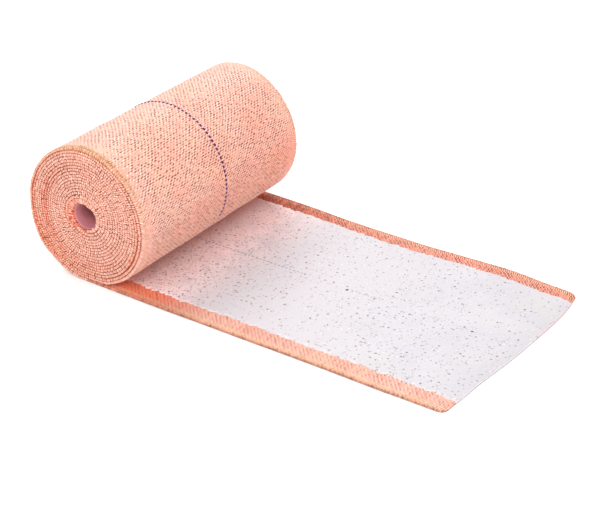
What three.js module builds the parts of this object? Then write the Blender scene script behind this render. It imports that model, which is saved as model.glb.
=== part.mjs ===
// Elastic adhesive bandage, wound fabric side out on a small plastic core, with its loose end laid flat and
// adhesive side up. Millimetres. X runs along the loose end, Y along the core, Z up from the surface.
import * as THREE from 'three';

// Driving sizes
const CLOTH_WIDTH = 100;
const CLOTH_THICKNESS = 1.0;
const COAT_THICKNESS = 0.25;
const CLEARANCE = 0.3;

const BORE_RADIUS = 4.7;
const CORE_WALL = 0.9;
const CORE_RECESS = 1.0;
const CORE_CHAMFER = 0.15;
const AXIS_HEIGHT = 27.65;

const TURNS = 18;
const STEPS_PER_TURN = 40;
const TURN_STEP = 1.136;
const TURN_GROOVE = 0.35;
const ROUNDING_INWARD = 3;

const LOOSE_END_LENGTH = 156;
const LOOSE_END_STATION = 4;
const CORNER_RADIUS = 2.5;
const COAT_START = 9.2;
const COAT_STATION = 2.4;
const COAT_NEAR_MARGIN = 8;
const COAT_FAR_MARGIN = 6.4;
const COAT_WAVE = 0.45;
const ACROSS = [0, 0.2, 0.4, 0.6, 0.8, 1];

// Worked out from the driving sizes
const FIRST_TURN_RADIUS = BORE_RADIUS + CORE_WALL + CLEARANCE;

// Outline of the roll, by the degrees that the outermost turn has wound from the bottom up the loose end's
// side. It starts flat above the loose end, sags towards the bottom and ends in the flat spot.
const OUTLINE = [
  { wound: 0, radius: 26.35 },
  { wound: 9, radius: 26.67 },
  { wound: 18, radius: 27.45 },
  { wound: 27, radius: 27.6 },
  { wound: 40, radius: 27.7 },
  { wound: 60, radius: 27.5 },
  { wound: 90, radius: 27.15 },
  { wound: 135, radius: 27.1 },
  { wound: 180, radius: 27.75 },
  { wound: 202, radius: 27.5 },
  { wound: 222, radius: 27.1 },
  { wound: 258, radius: 27.05 },
  { wound: 272, radius: 27.1 },
  { wound: 290, radius: 27.8 },
  { wound: 308, radius: 28.45 },
  { wound: 324, radius: 28.2 },
  { wound: 342, radius: 27.9 },
  { wound: 351, radius: 28.0 },
  { wound: 360, radius: 27.75 },
];

// How far the selvedge of each turn, counted from the core, stands back from the roll's end: all round, and
// more towards one side, whose angle is counted in degrees from +X towards +Z.
const NEAR_END = [
  { turn: 0.0, back: 0.9, more: 0.9, towards: 205 },
  { turn: 1.2, back: 0.5, more: 0.8, towards: 205 },
  { turn: 2.8, back: 0.1, more: 0.2, towards: 200 },
  { turn: 9.0, back: 0.2, more: 0.1, towards: 60 },
  { turn: 12.0, back: 0.1, more: 0.3, towards: 170 },
  { turn: 16.0, back: 0.0, more: 0.3, towards: 160 },
  { turn: 18.5, back: 0.1, more: 1.0, towards: -15 },
];
const FAR_END = [
  { turn: 0.0, back: 0.8, more: 0.4, towards: 20 },
  { turn: 2.0, back: 0.2, more: 0.2, towards: 40 },
  { turn: 8.0, back: 0.1, more: 0.3, towards: 250 },
  { turn: 13.0, back: 0.3, more: 0.2, towards: 130 },
  { turn: 18.5, back: 0.1, more: 0.5, towards: 60 },
];

// Stretches of the winding, in turns from the core, where two turns stand apart and the groove is deeper.
const NEAR_GAPS = [
  { from: 1.2, to: 1.8, depth: 0.7 },
  { from: 10.5, to: 11.1, depth: 0.6 },
  { from: 11.5, to: 12.6, depth: 0.8 },
  { from: 13.4, to: 14.2, depth: 0.6 },
  { from: 15.9, to: 16.6, depth: 0.9 },
  { from: 17.3, to: 18.1, depth: 0.8 },
];
const FAR_GAPS = [
  { from: 6.1, to: 6.9, depth: 0.6 },
  { from: 12.2, to: 13.3, depth: 0.8 },
  { from: 16.5, to: 17.3, depth: 0.7 },
];

// How far the loose end's two long edges draw in from the cloth's full width, and where its cut end lies.
const LONG_EDGES = [
  { x: 0, near: 0.3, far: 0.4 },
  { x: 22, near: 0.1, far: 0.5 },
  { x: 38, near: 0.0, far: 1.0 },
  { x: 52, near: 0.1, far: 1.9 },
  { x: 80, near: 0.2, far: 2.3 },
  { x: 92, near: 0.3, far: 2.2 },
  { x: 107, near: 0.3, far: 1.4 },
  { x: 133, near: 0.1, far: 0.8 },
  { x: 140, near: 0.2, far: 1.6 },
  { x: 156, near: 0.3, far: 2.6 },
];
const CUT_END = [
  { y: 0, x: 153.7 },
  { y: 10, x: 154.2 },
  { y: 23, x: 154.8 },
  { y: 42, x: 156.4 },
  { y: 57, x: 157.1 },
  { y: 86, x: 157.1 },
  { y: 98, x: 155.6 },
];

// Value of one column of a table at a place along another, straight between its rows.
function column(rows, along, at, name) {
  const after = rows.findIndex((row) => row[along] >= at);
  if (after === 0) return rows[0][name];
  if (after < 0) return rows[rows.length - 1][name];
  const low = rows[after - 1];
  const high = rows[after];
  return THREE.MathUtils.mapLinear(at, low[along], high[along], low[name], high[name]);
}

// Closed body between two sets of points with the same numbering. The triangles close side A as they stand
// and side B turned over, and a wall runs along every edge that only one triangle has.
function bodyBetween(sideA, sideB, triangles) {
  const open = new Map();
  for (const [a, b, c] of triangles) {
    for (const [from, to] of [[a, b], [b, c], [c, a]]) {
      if (!open.delete(`${to} ${from}`)) open.set(`${from} ${to}`, [from, to]);
    }
  }
  const count = sideA.length;
  const index = [];
  for (const [a, b, c] of triangles) {
    index.push(a, b, c, count + a, count + c, count + b);
  }
  for (const [from, to] of open.values()) {
    index.push(to, from, count + from, to, count + from, count + to);
  }
  const geometry = new THREE.BufferGeometry().setFromPoints([...sideA, ...sideB]);
  geometry.setIndex(index);
  geometry.computeVertexNormals();
  return geometry;
}

// Winding: the radius grows evenly with the turns wound. The outermost turn follows the roll's outline, and
// the turns inside it grow rounder towards the core.
function windingRadius(turns) {
  const part = turns < TURNS ? turns % 1 : turns - TURNS;
  const outside = TURNS + part;
  const outline = column(OUTLINE, 'wound', part * 360, 'radius');
  const unevenness = outline - FIRST_TURN_RADIUS - outside * TURN_STEP;
  return FIRST_TURN_RADIUS + turns * TURN_STEP + unevenness * (turns / outside) ** ROUNDING_INWARD;
}

function windingAngle(turns) {
  return (turns - 0.25) * 2 * Math.PI;
}

// Point of the roll's section on the inner side of a turn. The turns start and end at the bottom, rise on
// the loose end's side and are pressed flat on the surface.
function windingPoint(turns, y) {
  const angle = windingAngle(turns);
  const radius = windingRadius(turns);
  const z = AXIS_HEIGHT + radius * Math.sin(angle);
  return new THREE.Vector3(radius * Math.cos(angle), y, Math.max(0, z));
}

function midTurnPoint(turns, y) {
  return windingPoint(turns, y).lerp(windingPoint(turns + 1, y), 0.5);
}

function standBack(rows, turns, angle) {
  const sided = rows.map(({ turn, back, more, towards }) => {
    const facing = Math.cos(angle - THREE.MathUtils.degToRad(towards));
    return { turn, value: back + more * Math.max(0, facing) };
  });
  return column(sided, 'turn', turns, 'value');
}

function gapDepth(gaps, turns) {
  const gap = gaps.find(({ from, to }) => turns > from && turns < to);
  return gap ? gap.depth * Math.sin(Math.PI * (turns - gap.from) / (gap.to - gap.from)) : 0;
}

// Depth of the end face below the roll's full width, in the groove under a turn or on the turn's own edge.
function grooveDepth(rows, gaps, turns) {
  return standBack(rows, turns, windingAngle(turns)) + TURN_GROOVE + gapDepth(gaps, turns);
}

function edgeDepth(rows, turns) {
  return standBack(rows, turns + 0.5, windingAngle(turns));
}

// The wound cloth is one solid: each turn is a ridge with a groove on both sides on the two end faces, all
// along one spiral, and the outermost turn ends in a step at the bottom, where the loose end leaves.
function woundBandage() {
  const grooves = (TURNS + 1) * STEPS_PER_TURN + 1;
  const ridges = TURNS * STEPS_PER_TURN + 1;
  const near = [];
  const far = [];
  for (let step = 0; step < grooves; step += 1) {
    const turns = step / STEPS_PER_TURN;
    near.push(windingPoint(turns, grooveDepth(NEAR_END, NEAR_GAPS, turns)));
    far.push(windingPoint(turns, CLOTH_WIDTH - grooveDepth(FAR_END, FAR_GAPS, turns)));
  }
  for (let step = 0; step < ridges; step += 1) {
    const turns = step / STEPS_PER_TURN;
    near.push(midTurnPoint(turns, edgeDepth(NEAR_END, turns)));
    far.push(midTurnPoint(turns, CLOTH_WIDTH - edgeDepth(FAR_END, turns)));
  }
  const triangles = [];
  for (let step = 0; step < ridges - 1; step += 1) {
    const ridge = grooves + step;
    const outside = step + STEPS_PER_TURN;
    triangles.push([step, ridge, ridge + 1], [step, ridge + 1, step + 1]);
    triangles.push([ridge, outside, outside + 1], [ridge, outside + 1, ridge + 1]);
  }
  return bodyBetween(near, far, triangles);
}

// A flat sheet on the rows of points given, each row running from the near edge to the far one.
function flatSheet(rows, bottom, top) {
  const lower = rows.flat().map(([x, y]) => new THREE.Vector3(x, y, bottom));
  const upper = rows.flat().map(([x, y]) => new THREE.Vector3(x, y, top));
  const across = rows[0].length;
  const triangles = [];
  for (let row = 0; row < rows.length - 1; row += 1) {
    for (let place = 0; place < across - 1; place += 1) {
      const corner = row * across + place;
      const next = corner + across;
      triangles.push([corner, corner + 1, next + 1], [corner, next + 1, next]);
    }
  }
  return bodyBetween(lower, upper, triangles);
}

// Rows of points along the loose end between two edges. The cut end is drawn in by a margin and both of its
// corners are rounded.
function rowsAlong(start, spacing, endMargin, corner, nearEdge, farEdge) {
  const straight = LOOSE_END_LENGTH - corner - start;
  const count = Math.round(straight / spacing);
  const stations = [];
  for (let step = 0; step < count; step += 1) {
    stations.push({ x: start + straight * step / count, inset: 0 });
  }
  for (const turned of [0, 30, 60, 90].map(THREE.MathUtils.degToRad)) {
    const x = LOOSE_END_LENGTH - corner * (1 - Math.sin(turned));
    stations.push({ x, inset: corner * (1 - Math.cos(turned)) });
  }
  return stations.map(({ x, inset }) => {
    const low = nearEdge(x) + inset;
    const high = farEdge(x) - inset;
    const share = (x - start) / (LOOSE_END_LENGTH - start);
    return ACROSS.map((part) => {
      const y = THREE.MathUtils.lerp(low, high, part);
      const end = column(CUT_END, 'y', y, 'x') - endMargin;
      return [THREE.MathUtils.lerp(start, end, share), y];
    });
  });
}

const clothNearEdge = (x) => column(LONG_EDGES, 'x', x, 'near');
const clothFarEdge = (x) => CLOTH_WIDTH - column(LONG_EDGES, 'x', x, 'far');

// Uneven line of the spread adhesive: slow and quick waves that don't repeat along the loose end.
function coatWave(x, phase) {
  return COAT_WAVE * (0.6 * Math.sin(x / 9 + phase) + 0.4 * Math.sin(x / 2.3 + 2 * phase));
}

function looseEnd() {
  const rows = rowsAlong(CLEARANCE, LOOSE_END_STATION, 0, CORNER_RADIUS, clothNearEdge, clothFarEdge);
  return flatSheet(rows, 0, CLOTH_THICKNESS);
}

function adhesiveCoat() {
  const near = (x) => clothNearEdge(x) + COAT_NEAR_MARGIN + coatWave(x, 0.4);
  const far = (x) => clothFarEdge(x) - COAT_FAR_MARGIN + coatWave(x, 2.1);
  const rows = rowsAlong(COAT_START, COAT_STATION, CLEARANCE, COAT_THICKNESS, near, far);
  return flatSheet(rows, CLOTH_THICKNESS, CLOTH_THICKNESS + COAT_THICKNESS);
}

function coreTube() {
  const inner = BORE_RADIUS;
  const outer = BORE_RADIUS + CORE_WALL;
  const near = CORE_RECESS;
  const far = CLOTH_WIDTH - CORE_RECESS;
  const profile = [
    [inner + CORE_CHAMFER, near],
    [outer - CORE_CHAMFER, near],
    [outer, near + CORE_CHAMFER],
    [outer, far - CORE_CHAMFER],
    [outer - CORE_CHAMFER, far],
    [inner + CORE_CHAMFER, far],
    [inner, far - CORE_CHAMFER],
    [inner, near + CORE_CHAMFER],
    [inner + CORE_CHAMFER, near],
  ].map(([radius, y]) => new THREE.Vector2(radius, y));
  return new THREE.LatheGeometry(profile, STEPS_PER_TURN);
}

const cloth = () => new THREE.MeshStandardMaterial({ color: '#efb49b', roughness: 0.95, metalness: 0 });
const adhesive = () => new THREE.MeshStandardMaterial({ color: '#ece4ea', roughness: 0.6, metalness: 0 });
const plastic = () => new THREE.MeshStandardMaterial({ color: '#b98a9c', roughness: 0.4, metalness: 0 });

function piece(name, geometry, material, height = 0) {
  const mesh = new THREE.Mesh(geometry, material);
  mesh.name = name;
  mesh.position.z = height;
  return mesh;
}

const group = new THREE.Group();
group.add(
  piece('bandage_roll', woundBandage(), cloth()),
  piece('loose_end', looseEnd(), cloth()),
  piece('adhesive_coat', adhesiveCoat(), adhesive()),
  piece('core_tube', coreTube(), plastic(), AXIS_HEIGHT),
);

// The origin is the middle of the underside.
const middle = new THREE.Box3().setFromObject(group, true).getCenter(new THREE.Vector3());
group.position.set(-middle.x, -middle.y, 0);

export default group;
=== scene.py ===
import math
from functools import reduce

import bmesh
import bpy
import numpy as np
from mathutils import Matrix, Vector


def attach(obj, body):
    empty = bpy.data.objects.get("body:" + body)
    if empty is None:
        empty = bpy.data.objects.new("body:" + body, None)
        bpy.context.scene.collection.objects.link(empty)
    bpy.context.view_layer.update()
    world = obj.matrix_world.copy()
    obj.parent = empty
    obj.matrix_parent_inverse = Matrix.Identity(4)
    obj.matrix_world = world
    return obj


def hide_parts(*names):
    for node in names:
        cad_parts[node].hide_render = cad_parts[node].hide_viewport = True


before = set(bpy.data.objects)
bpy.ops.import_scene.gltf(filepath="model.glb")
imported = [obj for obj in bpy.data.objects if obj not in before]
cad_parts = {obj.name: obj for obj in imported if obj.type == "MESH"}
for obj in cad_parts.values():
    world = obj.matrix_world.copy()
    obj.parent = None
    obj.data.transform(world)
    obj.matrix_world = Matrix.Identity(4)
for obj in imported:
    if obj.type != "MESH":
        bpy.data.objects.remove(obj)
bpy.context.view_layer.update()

# The middle of the underside, which is the frame's origin.
ORIGIN = np.array([65.0036, 49.9509, 0.0])
MM = 0.001


# Rows of a table, with the names of its columns.
def table(columns, *rows):
    return [dict(zip(columns.split(), row)) for row in rows]


# Share kept between 0 and 1.
def limited(share):
    return np.clip(share, 0, 1)


# Driving sizes
CLOTH_WIDTH = 100
CLOTH_THICKNESS = 1.0
COAT_THICKNESS = 0.25
BORE_RADIUS = 4.7
CORE_WALL = 0.9
CORE_LIP = 0.34
CORE_TAPER = 3.2
CORE_RECESS = 1.0
CORE_FLARE = 0.8
CORE_FLARE_DEPTH = 4
CORE_SIDES = 96
AXIS_HEIGHT = 27.65
TURNS = 18
TURN_STEP = 1.136
ROUNDING_INWARD = 3
LENGTH_STEPS = 60000
CLEARANCE = 0.3
FIRST_TURN_RADIUS = BORE_RADIUS + CORE_WALL + CLEARANCE
LOOSE_END_LENGTH = 156
TAIL_START = -0.6
CORNER_RADIUS = 2.5
COAT_NEAR_MARGIN = 8
COAT_FAR_MARGIN = 6.4
COAT_WAVE = 0.45
COAT_TOOTH = 3.0
COAT_TOOTH_DEPTH = 1.4
COAT_TEETH = 80
COAT_FEATHER = 1.2
CUT_PRESS = 0.45
CUT_REACH = 6
FULL_TURN = 2 * math.pi

# Weave: raised and sunk places alternate along and across the cloth, two rows to a period.
WARP_PERIOD = 1.92
WEFT_PERIOD = 1.74
WEAVE_RELIEF = 0.06
RIB_SHARE = 0.47

# Selvedge: a row of thread loops, which draw in between each other.
BEAD_PITCH = WEFT_PERIOD / 2
BEAD_STEP = BEAD_PITCH / 4
BEAD_DEPTH = 0.15
BEAD_SWELL = 0.09
BEAD_SQUEEZE = 0.13
BEAD_DRIFT = 0.4
BEAD_SHIFT = 0.1
BEAD_UNEVEN = 0.4
BEAD_TWIST = 0.9
TURN_GAP = 0.02
SIDE_DEPTH = 1.1
CORE_RAGGED = 0.3
SELVEDGE_WANDER = 0.1

# The cloth's outer side is painted with warm orange shade low on the loose end's side.
WARM_SIDE = -8
WARM_REACH = 34
WARM_SHARE = 0.7

# The outermost turn's near edge is golden at the top of the roll.
SEAM_SIDE = 82
SEAM_REACH = 48
SEAM_WIDTH = 2.9
SEAM_RAGGED = 0.7
SEAM_FADE = 1.2

# Unevenness of the outermost turn's outer side: round the roll, across it and in its radius.
OUTER_SLIP = 0.25
OUTER_SWAY = 0.22
OUTER_SWELL = 0.12

# Where the painted shade of the loose cloth's margins beside the roll ends, counted from the roll's axis, and
# over what length.
BESIDE_ROLL = {"end": 62, "fade": 40}
UNDER_ROLL = {"end": 84, "fade": 54}
AT_NIP = {"end": 54, "fade": 24}

# The first turns' edges draw in over the core's thin end on the loose end's side, and furthest at the top.
LEAN = 0.56
LEAN_TURNS = 3
LEAN_TOWARDS = -20
LEAN_MORE = 1.4
LEAN_SIDE = 80
LEAN_REACH = 50

# On the other side the edges of the first turns stand out from the core, and those after them give way.
BULGE = 1.0
BULGE_SIDE = 188
BULGE_REACH = 58
BULGE_TURNS = 3
BULGE_ENDS = 8

# Centre thread: dark stitches, and the thread's light parts between them, from where it comes up out of the
# dip beside the loose end, in degrees wound.
THREAD_DIPS = 57
THREADS = table(
    "name length width lift phase tint",
    ("thread_stitches", 1.4, 1.1, 0.22, 0.5, (74, 20, 54)),
    ("thread_between", 0.9, 0.6, 0.18, 0.0, (216, 166, 206)),
)
THREAD_PLACE = table(
    "wound y",
    (0, 51.3), (100, 51.45), (120, 51.2), (140, 51.0), (162, 50.5), (220, 50.2), (360, 50.4),
)

# Outline of the roll, by the degrees that the outermost turn has wound from the bottom up the loose end's
# side. It starts flat above the loose end, sags towards the bottom and ends in the flat spot.
OUTLINE = table(
    "wound radius",
    (0, 26.35), (9, 26.67), (18, 27.45), (27, 27.6), (40, 27.7), (60, 27.5), (90, 27.15), (135, 27.1),
    (180, 27.75), (202, 27.5), (222, 27.1), (258, 27.05), (272, 27.1), (290, 27.8), (308, 28.45),
    (324, 28.2), (342, 27.9), (351, 28.0), (360, 27.75),
)

# How far the selvedge of each turn, counted from the core, stands back from the roll's end: all round, and
# more towards one side, whose angle is counted in degrees from +X towards +Z.
NEAR_END = table(
    "turn back more towards",
    (0.0, 0.35, 0.65, 220),
    (1.2, 0.3, 0.6, 205),
    (2.8, 0.1, 0.2, 200),
    (9.0, 0.2, 0.1, 60),
    (12.0, 0.1, 0.3, 170),
    (16.0, 0.0, 0.3, 160),
    (18.5, 0.1, 1.0, -15),
)
FAR_END = table(
    "turn back more towards",
    (0.0, 0.8, 0.4, 20),
    (2.0, 0.2, 0.2, 40),
    (8.0, 0.1, 0.3, 250),
    (13.0, 0.3, 0.2, 130),
    (18.5, 0.1, 0.5, 60),
)

# Stretches of the winding, in turns from the core, where the selvedges of two turns stand apart.
NEAR_GAPS = table(
    "from to width",
    (2.5, 3.0, 0.24),
    (10.4, 11.1, 0.1),
    (11.4, 12.1, 0.12),
    (12.4, 13.0, 0.1),
    (13.5, 14.1, 0.08),
    (15.9, 16.4, 0.24),
    (17.45, 17.95, 0.08),
)
FAR_GAPS = table(
    "from to width",
    (6.1, 6.9, 0.16),
    (12.2, 13.3, 0.22),
    (16.5, 17.3, 0.2),
)

# Patches of the near end where the cloth runs to orange or to yellow, and the painted shade between the turns
# with it. The orange is painted warm shade glowing in the recesses. Each has its middle at a turn and an
# angle, and its reach in turns and in degrees.
NEAR_PATCHES = table(
    "turn angle turns reach orange yellow",
    (1.0, 200, 1.3, 60, 1.0, 0.0),
    (12.1, 172, 2.0, 46, 0.9, 0.0),
    (12.9, 222, 1.6, 30, 0.5, 0.1),
    (17.6, 165, 0.6, 46, 1.0, 0.1),
    (18.6, 150, 0.45, 50, 0.3, 1.0),
    (16.8, 205, 1.3, 30, 0.6, 0.2),
    (16.2, -30, 0.8, 30, 0.9, 0.2),
    (16.0, -125, 2.2, 42, 0.6, 0.2),
    (12.8, -70, 1.5, 36, 0.45, 0.0),
    (18.1, 78, 0.8, 36, 0.35, 0.9),
)

# Dark knots on the near end.
NEAR_KNOTS = table(
    "x z radius",
    (-4.7, 35.1, 0.52), (-2.5, 35.6, 0.44), (-7.0, 27.5, 0.45), (-7.6, 25.0, 0.5), (-4.8, 23.8, 0.6),
    (-6.3, 23.2, 0.45),
)

# How far the loose end's two long edges draw in from the cloth's full width, and where its cut end lies.
LONG_EDGES = table(
    "x near far",
    (0, 0.3, 0.4), (22, 0.1, 0.5), (38, 0.0, 1.0), (52, 0.1, 1.9), (80, 0.2, 2.3), (92, 0.3, 2.2),
    (107, 0.3, 1.4), (133, 0.1, 0.8), (140, 0.2, 1.6), (156, 0.3, 2.6),
)
CUT_END = table(
    "y x",
    (0, 153.7), (10, 154.2), (23, 154.8), (42, 156.4), (57, 157.1), (86, 157.1), (98, 155.6),
)

# Rows of the adhesive down over the cut end: how far each lies beyond it, its height as a share of the
# adhesive's own, and its shares of the painted light along the edge and of the coloured rim below it.
CUT_ROWS = table(
    "out height light rim",
    (0.1, 0.9, 0.6, 0.0),
    (0.14, 0.5, 0.5, 0.6),
    (0.14, 0.2, 0.2, 1.0),
)

# Specks in the adhesive: the pitch of the net that they lie on, the share of its cells that have one, their
# smallest and largest radius, their strength, and the two tints that they lie between.
SPECKS = table(
    "pitch kept sizes strength second first",
    (1.9, 0.24, (0.22, 0.38), 0.7, (232, 223, 222), (216, 209, 210)),
    (1.5, 0.4, (0.26, 0.44), 0.8, (114, 94, 96), (146, 98, 96)),
    (2.9, 0.4, (0.34, 0.6), 0.95, (124, 84, 84), (76, 62, 70)),
    (8.5, 0.4, (0.38, 0.6), 0.6, (196, 128, 112), (170, 92, 88)),
)

# Dark lint that lies on the adhesive, near the centre thread.
LINT = table(
    "x y radius",
    (64, 50.5, 0.42), (83.4, 49.8, 0.72), (95.2, 49.9, 0.46), (136, 50.6, 0.58),
)


# The row below each place, and how far the place lies from it to the next row, from 0 to 1.
def between_rows(rows, along, at):
    places = np.array([row[along] for row in rows], float)
    low = np.clip(np.searchsorted(places, at, side="right") - 1, 0, len(places) - 2)
    return low, limited((at - places[low]) / (places[low + 1] - places[low]))


# Value of one column of a table at places along another, on a smooth curve through its rows.
def column(rows, along, at, name):
    places = np.array([row[along] for row in rows], float)
    values = np.array([row[name] for row in rows], float)
    slopes = np.gradient(values, places)
    low, part = between_rows(rows, along, at)
    span = places[low + 1] - places[low]
    rise = part * part * (3 - 2 * part)
    leave = part * (1 - part) ** 2 * span * slopes[low]
    arrive = -part * part * (1 - part) * span * slopes[low + 1]
    return values[low] * (1 - rise) + values[low + 1] * rise + leave + arrive


# Uneven curve between about -1 and 1 that changes over the given length and never repeats.
def wobble(at, length, seed):
    rng = np.random.default_rng(seed)
    total = np.zeros_like(np.asarray(at, float))
    for share in (1.0, 0.61, 0.37, 0.23):
        phase = rng.uniform(0, FULL_TURN)
        wave = length * share * rng.uniform(0.85, 1.15)
        total = total + np.sin(FULL_TURN * at / wave + phase) * math.sqrt(share)
    return total / 2.4


def winding_radius(turns):
    turns = np.asarray(turns, float)
    part = np.where(turns < TURNS, turns % 1, turns - TURNS)

    def unevenness(share):
        outermost = column(OUTLINE, "wound", share * 360, "radius")
        return outermost - FIRST_TURN_RADIUS - (TURNS + share) * TURN_STEP

    ramp = np.where(turns < TURNS, part * (unevenness(1.0) - unevenness(0.0)), 0)
    outside = TURNS + part
    uneven = (unevenness(part) - ramp) * (turns / outside) ** ROUNDING_INWARD
    return FIRST_TURN_RADIUS + turns * TURN_STEP + uneven


# The first turn lies on the core all round, and climbs onto the cloth's own end at its last.
def inner_side(turns):
    climb = limited((1 - turns) / 0.12)
    return winding_radius(turns) * (1 - climb) + (BORE_RADIUS + CORE_WALL + TURN_GAP) * climb


def winding_angle(turns):
    return (np.asarray(turns, float) - 0.25) * FULL_TURN


# X and Z at a distance and an angle from the roll's axis, and not below the surface.
def place_round(radius, angle):
    return radius * np.cos(angle), np.maximum(0, AXIS_HEIGHT + radius * np.sin(angle))


# Degrees from a direction to each angle, from -180 to 180.
def away_from(direction, angle):
    return (np.degrees(angle) - direction + 180) % 360 - 180


# Share from 0 to 1 that is fullest in one direction and fades on both sides of it.
def bell(direction, reach, angle):
    return np.exp(-((away_from(direction, angle) / reach) ** 2))


def stand_back(rows, turns, angle):
    sides = np.array([
        row["back"] + row["more"] * np.maximum(0, np.cos(angle - math.radians(row["towards"])))
        for row in rows
    ])
    low, part = between_rows(rows, "turn", turns)
    inner, outer = (np.take_along_axis(sides, row[None], 0)[0] for row in (low, low + 1))
    return inner * (1 - part) + outer * part


def gap_width(gaps, turns):
    width = np.zeros_like(turns)
    for gap in gaps:
        part = limited((turns - gap["from"]) / (gap["to"] - gap["from"]))
        width = width + gap["width"] * np.sin(math.pi * part)
    return width


def patch_share(patches, turns, angle, name):
    share = np.zeros_like(turns)
    for patch in patches:
        round_the_roll = away_from(patch["angle"], angle) / patch["reach"]
        far = ((turns - patch["turn"]) / patch["turns"]) ** 2 + round_the_roll**2
        share = share + patch[name] * np.exp(-far)
    return limited(share)


def knot_share(knots, x, z):
    share = np.zeros_like(x)
    for knot in knots:
        far = np.hypot(x - knot["x"], z - knot["z"]) / knot["radius"]
        share = share + np.exp(-(far**4))
    return limited(share)


# Turns at equal steps along the cloth between two turns, and the length of cloth wound up to each.
def even_turns(start, end, step):
    turns = np.linspace(0, TURNS + 1, LENGTH_STEPS + 1)
    radius = winding_radius(turns)
    arcs = (radius[1:] + radius[:-1]) / 2 * np.diff(winding_angle(turns))
    length = np.append(0, np.cumsum(arcs))
    first, last = np.interp([start, end], turns, length)
    count = int(round((last - first) / step))
    lengths = np.linspace(first, last, count + 1)
    return np.interp(lengths, length, turns), lengths


WOUND_LENGTH = float(even_turns(0, TURNS, 50)[1][-1])
SHARES = ("deep", "bead", "orange", "yellow", "knot")


# Points and faces of one mesh, gathered grid by grid. Every point has its place on the flat cloth, in
# millimetres across and along, and five shares from 0 to 1: how deep it lies between its neighbours, how far
# it stands out on a thread (below 0 between two threads), how orange and how yellow the cloth is there, and
# how much of it is a dark knot. On the cloth the depth steers painted shade, the thread share a painted
# highlight and painted shade between threads, and the orange share mostly painted warm shade.
class Form:
    def __init__(self):
        self.points = []
        self.cloth = []
        self.shares = {name: [] for name in SHARES}
        self.faces = []
        self.count = 0

    def grid(self, places, across, along, **shares):
        points = np.stack(np.broadcast_arrays(*places), -1)
        shape = points.shape[:2]
        index = np.arange(shape[0] * shape[1]).reshape(shape) + self.count
        self.count += index.size
        self.points.append(points.reshape(-1, 3))
        flat = np.stack(np.broadcast_arrays(across, along), -1)
        self.cloth.append(np.broadcast_to(flat, shape + (2,)).reshape(-1, 2))
        for name, values in self.shares.items():
            values.append(np.broadcast_to(shares.get(name, 0.0), shape).reshape(-1))
        for place in range(shape[1] - 1):
            self.join(index[:, place], index[:, place + 1])
        return index

    def join(self, left, right):
        self.faces.append(np.stack([left[:-1], left[1:], right[1:], right[:-1]], -1))

    # Joins a column to one that has half as many steps.
    def join_half(self, fine, coarse):
        a, b, c = fine[:-2:2], fine[1::2], fine[2::2]
        d, e = coarse[:-1], coarse[1:]
        triangles = ((a, b, d), (b, e, d), (b, c, e))
        self.faces.append(np.concatenate([np.stack(three, -1) for three in triangles]))

    def cap(self, loop):
        self.faces.append(np.array([loop]))

    def mesh(self, name):
        points = (np.concatenate(self.points) - ORIGIN) * MM
        faces = [tuple(face) for block in self.faces for face in block.tolist()]
        data = bpy.data.meshes.new(name)
        data.from_pydata(points.tolist(), [], faces)
        work = bmesh.new()
        work.from_mesh(data)
        bmesh.ops.recalc_face_normals(work, faces=work.faces)
        work.to_mesh(data)
        work.free()
        corners = np.zeros(len(data.loops), np.int32)
        data.loops.foreach_get("vertex_index", corners)
        cloth = np.concatenate(self.cloth) * MM
        layer = data.uv_layers.new(name="cloth")
        layer.data.foreach_set("uv", cloth[corners].astype(np.float32).ravel())
        for share, values in self.shares.items():
            kept = data.attributes.new(share, "FLOAT", "POINT")
            kept.data.foreach_set("value", np.concatenate(values).astype(np.float32))
        data.shade_smooth()
        return data


def placed(name, data):
    made = bpy.data.objects.new(name, data)
    bpy.context.scene.collection.objects.link(made)
    return made


def piece(name, form, material, replaced):
    data = form.mesh(name)
    made = placed(name, data)
    data.materials.append(material)
    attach(made, "root")
    if replaced:
        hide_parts(*replaced)
    return made


def wound_length(start, end):
    lengths = even_turns(start, end, BEAD_STEP)[1]
    return float(lengths[-1] - lengths[0])


# Materials

TAWNY = (229, 184, 152)
GOLDEN = (206, 148, 82)
GOLDEN_SHADOW = (132, 78, 42)
# Painted highlight on the selvedge's threads where they stand out
THREAD_HIGHLIGHT = (250, 214, 196)
LIGHT_FRINGE = (250, 216, 180)
KNOT = (164, 56, 44)


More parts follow.
